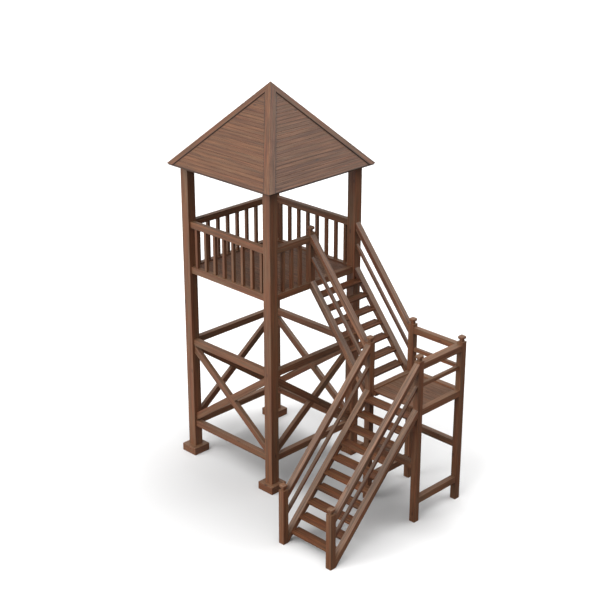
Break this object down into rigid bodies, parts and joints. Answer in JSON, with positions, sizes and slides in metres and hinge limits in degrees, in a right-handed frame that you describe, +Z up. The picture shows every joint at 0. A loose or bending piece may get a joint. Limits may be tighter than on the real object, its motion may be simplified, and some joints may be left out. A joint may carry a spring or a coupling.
{
  "type": "timber watchtower",
  "caption": "Square timber watchtower with a railed platform under a pyramid roof, crossed braces, and two open flights of steps that turn at a railed landing.",
  "frame": {"origin": "middle of the footprint, on the ground", "axes": "+Z up, +X to the right seen from the front, where the lower flight comes down towards the viewer, +Y to the back"},
  "size_m": [5.2516, 3.7474, 7.6019],
  "materials": {
    "frame_timber": "sawn, brown stain",
    "walking_boards": "sawn, brown stain",
    "roof_boards": "sawn, brown stain",
    "hip_timber": "sawn, brown stain"
  },
  "bodies": {
    "root": {"balusters_back": "frame_timber", "balusters_entry": "frame_timber", "balusters_front": "frame_timber", "balusters_left": "frame_timber", "braces_falling": "frame_timber", "braces_rising": "frame_timber", "entry_newel": "frame_timber", "footing_blocks": "frame_timber", "hip_boards_left": "hip_timber", "hip_boards_right": "hip_timber", "hip_rafters": "frame_timber", "king_block": "frame_timber", "landing_deck": "walking_boards", "landing_edge_beams": "frame_timber", "landing_joists": "frame_timber", "landing_low_beams": "frame_timber", "landing_middle_beams": "frame_timber", "landing_middle_rails": "frame_timber", "landing_newel_inner_back": "frame_timber", "landing_newel_inner_front": "frame_timber", "landing_newel_outer_back": "frame_timber", "landing_newel_outer_front": "frame_timber", "landing_top_rails": "frame_timber", "lower_handrails": "frame_timber", "lower_middle_rails": "frame_timber", "lower_newel_left": "frame_timber", "lower_newel_right": "frame_timber", "lower_ring_beams": "frame_timber", "lower_stringers": "frame_timber", "lower_treads": "walking_boards", "middle_ring_beams": "frame_timber", "platform_deck": "walking_boards", "platform_edge_beams": "frame_timber", "platform_joists": "frame_timber", "platform_top_rails": "frame_timber", "post_back_left": "frame_timber", "post_back_right": "frame_timber", "post_front_left": "frame_timber", "post_front_right": "frame_timber", "roof_panel_back": "roof_boards", "roof_panel_front": "roof_boards", "roof_panel_left": "roof_boards", "roof_panel_right": "roof_boards", "upper_handrails": "frame_timber", "upper_middle_rails": "frame_timber", "upper_stringers": "frame_timber", "upper_treads": "walking_boards", "wall_plates": "frame_timber"}
  },
  "joints": []
}
